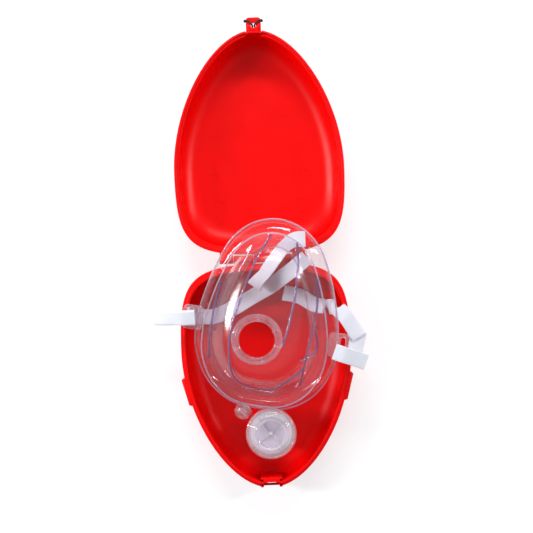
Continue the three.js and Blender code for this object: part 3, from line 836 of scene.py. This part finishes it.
dome_vinyl = clear_plastic(
    "dome_vinyl",
    (0.985, 0.97, 0.98, 1), (0.62, 0.5, 0.62, 1), (0.86, 0.83, 0.92, 1),
    0.01, 0.1, 0.13, 0.25,
)
dome_curve = [(0, 1), (0.18, 0.98), (0.36, 0.87), (0.54, 0.66), (0.7, 0.36), (0.8, 0.08), (0.86, 0)]
dome_rows, _ = along_curve(dome_curve, 30)
dome_rise = DOME_TOP - DOME_FOOT - DOME_SKIN
outside = [(out, DOME_FOOT + DOME_SKIN + dome_rise * high) for out, high in dome_rows]
inside = [(out * 0.955, DOME_FOOT + dome_rise * high) for out, high in dome_rows]
lip = [
    (0.95, DOME_FOOT + DOME_SKIN), (0.965, DOME_FOOT + DOME_SKIN + 0.45),
    (0.985, DOME_FOOT + DOME_SKIN + 0.5),
    (0.998, DOME_FOOT + DOME_SKIN), (1, DOME_FOOT + 0.5), (0.99, DOME_FOOT),
]
dome_bm = closed_rings(MASK_TURNS, outside + lip + inside[::-1], dome_place)
bmesh.ops.recalc_face_normals(dome_bm, faces=dome_bm.faces)
dome_tree = BVHTree.FromBMesh(dome_bm)
to_mask(dome_bm)
dome_shell = add_piece("dome_shell", dome_bm, dome_vinyl, "mask", 40)
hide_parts("mask_dome")

# ---------------------------------------------------------------------------
# Moulded ridges: raised beads in the dome that stiffen it between its facets.
# The vinyl is thicker there; their dark violet tint is partly that, partly painted shade.
RIDGES = {
    "left": [(-3, 74), (-9.6, 59.8), (-13.9, 45.9), (-16.8, 33), (-20, 14.6), (-19.3, -0.5), (-14.5, -18.1),
             (-3.1, -24.1), (7.9, -24.4), (17.6, -17.7), (27.4, -8.8)],
    "middle": [(13.4, 74.1), (16.2, 56.1), (17.1, 38.8), (15.8, 22.4), (13.7, 7.6)],
    "right": [(29.2, 49.4), (31.3, 28.9), (29.2, 5.1), (26.7, -23.5)],
    "far_left": [(-31.9, 39.1), (-34.9, 16.6), (-35.6, -14.3)],
    "far_right": [(32, 17.8), (34.3, 2.2), (25, -2.5)],
}
RIDGE_RADIUS = 0.8
RIDGE_ROWS = 90
# Dark violet tint: partly the thicker vinyl, partly painted shade along the ridges.
ridge_vinyl_painted_shade = clear_plastic(
    "ridge_vinyl_painted_shade",
    (0.66, 0.5, 0.74, 1), (0.4, 0.28, 0.5, 1), (0.42, 0.32, 0.52, 1),
    0.22, 0.3, 0.08, 0.1,
)
for ridge_name, ridge_route in RIDGES.items():
    plan, _ = along_curve(ridge_route, RIDGE_ROWS)
    spots = []
    faces = []
    for x, y in plan:
        hit, normal, _, _ = dome_tree.ray_cast(Vector((x, y, 60)), Vector((0, 0, -1)))
        if hit:
            spots.append(hit)
            faces.append(normal)
    end = len(spots) - 1
    ways = [(spots[min(i + 1, end)] - spots[max(i - 1, 0)]).normalized() for i in range(end + 1)]
    ridge_bm = sweep(round_section(10, RIDGE_RADIUS, RIDGE_RADIUS * 0.7), spots, ways, faces)
    to_mask(ridge_bm)
    add_piece("dome_ridge_" + ridge_name, ridge_bm, ridge_vinyl_painted_shade, "mask", 60)

# ---------------------------------------------------------------------------
# Cushion: a tube of thin clear vinyl film blown up tight round the face, with
# the weld between its two films showing as a fine fin round the outside.
CUSHION_RADIUS = 9.5
TUBE_SIDES = 72
BUMP_ROOM = 0.25
WAVE_HEIGHT = 0.22
PUCKER_HEIGHT = 0.07
FIN_HEIGHT = 0.45
FLUTE_HEIGHT = 0.07
FLUTES = 11


def cushion_place(share, station):
    """The tube's own angle is 0 on the outside of the face."""
    angle = 2 * math.pi * station / TUBE_SIDES
    i = round(share * MASK_TURNS)
    middle = face_point(share, CUSHION_RADIUS)
    seen = Vector((middle.x, middle.y, 0)) * 0.09
    wave = WAVE_HEIGHT * noise.noise(seen) * (1 - math.cos(angle))
    pucker = wave + PUCKER_HEIGHT * math.sin(i * 1.31) * max(0, -math.cos(angle))
    fin = FIN_HEIGHT * math.exp(-((math.sin(angle) / 0.09) ** 2)) * (math.cos(angle) > 0)
    flute = FLUTE_HEIGHT * math.cos(FLUTES * angle)
    radius = CUSHION_RADIUS - BUMP_ROOM + pucker + fin + flute
    spot = face_point(share, CUSHION_RADIUS - radius * math.cos(angle))
    return Vector((spot.x, spot.y, radius * math.sin(angle)))


cushion_film = clear_plastic(
    "cushion_film",
    (0.985, 0.97, 0.98, 1), (0.5, 0.4, 0.55, 1), (0.88, 0.86, 0.94, 1),
    0.01, 0.16, 0.03, 0.3,
)
cushion_bm = closed_rings(MASK_TURNS, range(TUBE_SIDES), cushion_place)
to_mask(cushion_bm)
cushion_skin = add_piece("cushion_skin", cushion_bm, cushion_film, "mask", 60)
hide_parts("cushion")

# ---------------------------------------------------------------------------
# Weld beads: vinyl squeezed out where the films are welded, one all round the
# outside of the cushion and one along the edge of the dome's lip.
BEAD_SIDES = 12
seam_vinyl = clear_plastic(
    "seam_vinyl",
    (0.86, 0.76, 0.88, 1), (0.5, 0.38, 0.58, 1), (0.86, 0.78, 0.9, 1),
    0.3, 0.45, 0.04, 0.1,
)


def bead_place(inset, height, radius):
    """A thin round bead that follows the face's outline."""

    def place(share, station):
        angle = 2 * math.pi * station / BEAD_SIDES
        spot = face_point(share, inset + radius * math.cos(angle))
        return Vector((spot.x, spot.y, height - radius * math.sin(angle)))

    return place


for name, inset, height, radius in (
    ("outer_weld", 0.15, 0, 0.5),
    ("lip_weld", DOME_LIP, DOME_FOOT + DOME_SKIN, 0.45),
):
    bead_bm = closed_rings(MASK_TURNS, range(BEAD_SIDES), bead_place(inset, height, radius))
    to_mask(bead_bm)
    add_piece(name, bead_bm, seam_vinyl, "mask", 60)

# ---------------------------------------------------------------------------
# Port collar: a stiffer clear 22 mm socket, moulded, glued over the dome's
# hole by its rolled flange.
collar_vinyl = clear_plastic(
    "collar_vinyl",
    (0.97, 0.93, 0.97, 1), (0.5, 0.4, 0.56, 1), (0.97, 0.94, 0.98, 1),
    0.6, 0.2, 0.04, 0.1, 0.88,
)


def add_turned(bm, profile, round_by=0.3, steps=96):
    """A turned piece about Z from its closed profile of (radius, height)."""
    outline = rounded(profile, round_by)
    verts = [bm.verts.new((max(r, 0), 0, z)) for r, z in outline]
    edges = []
    for here, there in zip(verts, verts[1:] + verts[:1]):
        if max(here.co.x, there.co.x) > 1e-6:
            edges.append(bm.edges.new((here, there)))
    bmesh.ops.spin(
        bm, geom=verts + edges, axis=(0, 0, 1), cent=(0, 0, 0), angle=2 * math.pi, steps=steps,
        use_merge=True,
    )
    bmesh.ops.remove_doubles(bm, verts=bm.verts, dist=1e-4)


collar_bm = bmesh.new()
add_turned(
    collar_bm,
    [(11.3, -2.6), (13.3, -2.6), (13.3, 0.6), (15.6, 0.6), (16.2, 1.4), (15.6, 2.5), (14.9, 1.2),
     (14.2, 3.3), (13.5, 2.1), (12.7, 4), (12.1, 2.2), (11.6, 3.9), (11.3, 3.4)],
    0.2,
)
collar_place = (
    Matrix.Translation((PORT_X, PORT_Y, DOME_TOP)) @ Matrix.Rotation(PORT_TILT, 4, "X")
    @ Matrix.Rotation(PORT_ROLL, 4, "Y")
)
bmesh.ops.transform(collar_bm, matrix=collar_place, verts=collar_bm.verts)
to_mask(collar_bm)
port_socket = add_piece("port_socket", collar_bm, collar_vinyl, "mask", 40)
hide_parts("port_collar")

# ---------------------------------------------------------------------------
# Strap ears: a clear moulded loop on each side of the dome's lip, with a thinner
# web round the slot that the strap comes up through.
EAR_TURNS = 72


def smooth_corners(corners, by):
    """Bezier stretches of a polygon with round corners."""
    stretches = []
    joints = []
    for i, corner in enumerate(corners):
        here = Vector(corner)
        before = Vector(corners[i - 1])
        after = Vector(corners[(i + 1) % len(corners)])
        start = here + (before - here).normalized() * by
        end = here + (after - here).normalized() * by
        joints.append((start, here, end))
    for i, (start, here, end) in enumerate(joints):
        stretches.append((start, start.lerp(here, 0.55), end.lerp(here, 0.55), end))
        onward = joints[(i + 1) % len(joints)][0]
        stretches.append((end, end.lerp(onward, 0.33), end.lerp(onward, 0.67), onward))
    return stretches


def ear_outline(inner, outer, y, half, corner):
    """A rectangle with round corners, as even points."""
    corners = [(inner, y - half), (outer, y - half), (outer, y + half), (inner, y + half)]
    return even_points(smooth_corners(corners, corner), EAR_TURNS)


def ear_place(side, y):
    """Out is 0 at the slot's edge and 1 at the plate's edge."""
    plate = ear_outline(41.2, 54.5, y, 8.15, 3)
    slot = ear_outline(49.1, 52.1, y, 5.8, 1.2)

    def place(share, station):
        out, height = station
        i = round(share * EAR_TURNS) % EAR_TURNS
        spot = slot[i].lerp(plate[i], out)
        return Vector((side * spot.x, spot.y, height))

    return place


EAR_ROWS = [
    (0.08, 9.9), (0.94, 9.9), (1, 10.3), (1, 11.7), (0.94, 12.1), (0.82, 12.1), (0.76, 11.3),
    (0.32, 11.3), (0.26, 12.1), (0.08, 12.1), (0, 11.7), (0, 10.3),
]
for name, side, y in (("ear_left", -1, 12.4), ("ear_right", 1, 7)):
    ear_bm = closed_rings(EAR_TURNS, EAR_ROWS, ear_place(side, y))
    to_mask(ear_bm)
    ear_loop = add_piece(name + "_loop", ear_bm, collar_vinyl, "mask", 40)
    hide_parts(name)

# ---------------------------------------------------------------------------
# Inflation stem: a short clear tube with a flange, injection moulded and
# welded into the cushion beside the chin.
fitting_vinyl = clear_plastic(
    "fitting_vinyl",
    (0.97, 0.94, 0.97, 1), (0.5, 0.42, 0.55, 1), (0.97, 0.95, 0.98, 1),
    0.65, 0.2, 0.03, 0.1, 0.85,
)
stem_place = (
    Matrix.Translation((-7.4, -44.8, 7.4))
    @ Matrix.Rotation(math.radians(34), 4, "X")
    @ Matrix.Rotation(math.radians(-16), 4, "Y")
)


def add_fitting(name, profile, round_by, body, node):
    """A turned piece on the stem's axis, carried with the mask to its place."""
    bm = bmesh.new()
    add_turned(bm, profile, round_by, 48)
    bmesh.ops.transform(bm, matrix=stem_place, verts=bm.verts)
    to_mask(bm)
    thing = add_piece(name, bm, fitting_vinyl, body, 40)
    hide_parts(node)


add_fitting(
    "inflation_tube",
    [(1.9, 1.6), (3.1, 1.6), (3.1, 3.4), (5.8, 3.4), (5.8, 4.6), (3.5, 4.8), (3.1, 6.4), (1.9, 6.4)],
    0.2, "mask", "inflation_stem",
)

# ---------------------------------------------------------------------------
# Stopper: a clear moulded plug with a small finger cap, pushed into the stem.
# It keeps the cushion full of air.
add_fitting(
    "stopper",
    [(0, 2.2), (1.6, 2.2), (1.6, 6.7), (5.4, 6.7), (5.4, 7.7), (4.4, 8.1), (4, 9.5), (2.8, 9.5),
     (2.4, 9.9), (1.8, 9.3), (0, 9.3)],
    0.3, "plug", "inflation_plug",
)

# ---------------------------------------------------------------------------
# Head strap: one white woven elastic, 10.4 mm wide, that lies under the mask.
# Its ends come up through the ears; the left one is sewn back on itself.
STRAP_WIDTH = 10.4
STRAP_THICK = 0.9
STRAP_ROWS = 90


def band_section(width, thick, across=10, cap=4):
    """A flat section with round edges, as (across, out) pairs."""
    half = (width - thick) / 2
    section = [(half - 2 * half * i / across, thick / 2) for i in range(across + 1)]
    for i in range(1, cap):
        angle = math.pi / 2 + math.pi * i / cap
        section.append((-half + thick / 2 * math.cos(angle), thick / 2 * math.sin(angle)))
    section += [(-a, -b) for a, b in section]
    return section


def woven_elastic():
    """White elastic: fine lengthwise ribs crossed by picks, soft and matt."""
    material, tree, shader = start_material("woven_elastic")
    nodes = tree.nodes
    shader.inputs["Sheen Weight"].default_value = 0.25
    flat = nodes.new("ShaderNodeUVMap")
    heights = []
    for direction, scale, bend in (("X", 0.42, 0.0), ("Y", 0.5, 0.6)):
        wave = nodes.new("ShaderNodeTexWave")
        wave.bands_direction = direction
        dial(wave, {"Scale": scale, "Distortion": bend})
        link(tree, flat.outputs["UV"], wave.inputs["Vector"])
        heights.append(wave.outputs["Fac"])
    weave = nodes.new("ShaderNodeMath")
    weave.operation = "MULTIPLY_ADD"
    weave.inputs[1].default_value = 0.45
    link(tree, heights[1], weave.inputs[0])
    link(tree, heights[0], weave.inputs[2])
    colour = two_tone(tree, weave.outputs["Value"], 0.1, 1.2, (0.6, 0.62, 0.7, 1), (0.82, 0.83, 0.88, 1))
    link(tree, colour, shader.inputs["Base Color"])
    fuzz = noise_at(tree, 2200, 4)
    link(tree, mapped(tree, fuzz, 0.3, 0.7, 0.8, 0.95), shader.inputs["Roughness"])
    raise_by(tree, weave.outputs["Value"], shader, 0.12, 0.6)
    return material


elastic = woven_elastic()
UP = (0, 0, 1)
TILTED = (0, -math.sin(MASK_TILT), math.cos(MASK_TILT))
OUT_LEFT = (-1, 0, 0)
OUT_RIGHT = (1, 0, 0.6)
LEANING = (-0.4, 0.4, 0.8)
STRAPS = {
    "strap_left": (
        [(-50.4, 42.6, 33.2), (-50, 42.4, 28), (-49, 42, 19), (-45, 41, 12), (-36, 40, 9), (-24, 44, 8.4),
         (-8, 52.6, 10), (4, 59.2, 19), (11.6, 64.6, 30.4), (20, 70.6, 33.4), (29, 77.6, 32.8)],
        [OUT_LEFT, OUT_LEFT] + [UP] * 7, STRAP_THICK, "hung",
    ),
    "strap_end": (
        [(-6.4, 59.6, 22), (-3.4, 63.4, 29), (1.4, 69, 34.8), (8.4, 78, 35.2), (14.4, 85, 35.2),
         (21, 89.4, 35.6), (28.4, 89.6, 36)],
        [UP, LEANING, LEANING, LEANING, UP], STRAP_THICK, "hung",
    ),
    "strap_right": (
        [(13, 54.5, 12), (24, 51.6, 10.4), (34, 45.6, 11), (43, 44, 15), (46.4, 44, 24), (48, 43, 32),
         (52.4, 38.6, 35.2), (56.2, 32.4, 35.6), (61, 24, 35.8)],
        [UP] * 3 + [OUT_RIGHT] * 2 + [UP] * 3, STRAP_THICK, "hung",
    ),
    "strap_turn": (
        [(61.4, 27.6, 34.2), (59.6, 21, 34.4), (57.6, 14, 35.4), (55.6, 7.6, 37)],
        [UP, UP], STRAP_THICK, "hung",
    ),
    "strap_tail": (
        [(43.4, 16.6, 51.6), (50, 14, 50.6), (56.4, 11.4, 45.4), (64.6, 7.8, 39.6)],
        [UP, UP], STRAP_THICK, "hung",
    ),
    "strap_stub": (
        [(-45.4, 41.6, 44.2), (-54, 41.6, 43.4), (-61, 41.8, 39), (-72.4, 42.2, 33.2)],
        [TILTED, TILTED, UP], 2.2 * STRAP_THICK, "folded",
    ),
}


def spread_faces(faces, count):
    """The looks of a band, turned evenly from each one to the next."""
    result = []
    for i in range(count):
        at = i / (count - 1) * (len(faces) - 1)
        k = min(int(at), len(faces) - 2)
        result.append(Vector(faces[k]).lerp(Vector(faces[k + 1]), at - k))
    return result


for strap_name, (route, looks, thick, held) in STRAPS.items():
    spots, ways = along_curve(route, STRAP_ROWS)
    length = sum((b - a).length for a, b in zip(spots, spots[1:]))
    section = band_section(STRAP_WIDTH, thick)
    strap_bm = sweep(section, spots, ways, spread_faces(looks, STRAP_ROWS))
    step = length / (STRAP_ROWS - 1)
    paint_lengths(strap_bm, len(section), lambda k: section[k % len(section)][0], lambda i: i * step)
    to_metres(strap_bm)
    band = add_piece(strap_name + "_band", strap_bm, elastic, "mask", 50)
    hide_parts(strap_name)

# ---------------------------------------------------------------------------
# Valve body: clear rigid plastic halves, injection moulded, that snap together
# over the working parts, and the mouth port that stands on the upper one. The
# valve stands on its 22 mm connector in the base.
VALVE_SPOT = (1, -37, 0)
DISH = 29.6
valve_styrene = clear_plastic(
    "valve_styrene",
    (0.98, 0.95, 0.98, 1), (0.7, 0.6, 0.72, 1), (0.98, 0.96, 0.98, 1),
    0.6, 0.2, 0.03, 0.08, 0.75,
)


def valve_piece(name, profiles, material, node, body="valve", round_by=0.3):
    """A turned piece of the valve, standing where the valve stands."""
    bm = bmesh.new()
    for profile in profiles:
        add_turned(bm, profile, round_by)
    bmesh.ops.translate(bm, vec=VALVE_SPOT, verts=bm.verts)
    to_metres(bm)
    thing = add_piece(name, bm, material, body, 40)
    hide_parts(node)


valve_piece(
    "connector_half",
    [[(9.4, 2.4), (10.7, 2.4), (11, 22), (11.6, 24.4), (15.4, DISH - 1.6), (15.4, DISH + 3), (14, DISH + 3),
      (14, DISH + 0.2), (9.4, 25.4)]],
    valve_styrene, "valve_connector",
)
valve_piece(
    "housing_half",
    [[(15.7, 29.4), (16.6, 29.4), (16.6, 35.2), (16.2, 35.9), (15.4, 36), (15.2, 35.6), (14.3, 35.6),
      (14.1, 36.3), (13, 36.4), (12.7, 37.4), (12, 37.8), (11.2, 37.8), (11.2, 35.2), (15.7, 35.2)]],
    valve_styrene, "valve_housing",
)
valve_piece(
    "mouth_port", [[(8.6, 35.8), (10.9, 35.8), (10.9, 38.1), (10.4, 40), (8.9, 40)]],
    valve_styrene, "valve_mouthpiece",
)

# ---------------------------------------------------------------------------
# Filter: a thin disc of white non-woven felt, cut to size and laid in the dish
# of the connector half.
felt, felt_tree, felt_shader = start_material("felt")
felt_shader.inputs["Roughness"].default_value = 0.95
felt_noise = noise_at(felt_tree, 2600, 5)
felt_colour = two_tone(felt_tree, felt_noise, 0.35, 0.65, (0.9, 0.83, 0.88, 1), (0.97, 0.93, 0.96, 1))
link(felt_tree, felt_colour, felt_shader.inputs["Base Color"])
raise_by(felt_tree, felt_noise, felt_shader, 0.2)
valve_piece(
    "filter_disc", [[(0, 30.2), (13.6, 30.2), (13.6, 31), (0, 31)]], felt, "valve_filter",
)

# ---------------------------------------------------------------------------
# Flap: a translucent silicone disc with a hole in its middle, threaded on the
# spider's pin. It lifts to let breath in and seals on the way back.
silicone = clear_plastic(
    "silicone",
    (0.96, 0.94, 0.97, 1), (0.7, 0.6, 0.72, 1), (0.85, 0.82, 0.88, 1),
    0.08, 0.3, 0.2, 0.1,
)
valve_piece(
    "flap", [[(1.25, 33.1), (10.2, 33.1), (10.2, 33.8), (1.25, 33.8)]],
    silicone, "valve_diaphragm", "diaphragm", 0.15,
)

# ---------------------------------------------------------------------------
# Spider: a whiter moulded ring with four arms and a centre pin, which holds
# the flap down between the two halves.
SPIDER_FOOT = 31.4
SPIDER_TOP = 32.6
SPIDER_ANGLE = 38
spider_styrene = clear_plastic(
    "spider_styrene",
    (0.97, 0.95, 0.97, 1), (0.85, 0.8, 0.87, 1), (0.98, 0.96, 0.98, 1),
    0.6, 0.35, 0.05, 0.08,
)
spider_bm = bmesh.new()
add_turned(
    spider_bm,
    [(11.6, SPIDER_FOOT), (13.6, SPIDER_FOOT), (13.6, SPIDER_TOP), (11.6, SPIDER_TOP)],
    0.2,
)
add_turned(
    spider_bm,
    [(0, SPIDER_FOOT), (2, SPIDER_FOOT), (2, SPIDER_TOP), (0.9, 32.8), (0.9, 35), (0, 35)],
    0.15, 40,
)
for quarter in range(4):
    arm = bmesh.new()
    add_block(arm, (1.2, -0.7, SPIDER_FOOT), (12, 0.7, SPIDER_TOP), 0.2)
    turn = Matrix.Rotation(math.radians(SPIDER_ANGLE + 90 * quarter), 3, "Z")
    bmesh.ops.rotate(arm, matrix=turn, verts=arm.verts)
    pour_in(spider_bm, arm, "arm")
bmesh.ops.translate(spider_bm, vec=VALVE_SPOT, verts=spider_bm.verts)
to_metres(spider_bm)
spider_frame = add_piece("spider_frame", spider_bm, spider_styrene, "valve", 40)
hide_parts("valve_spider")
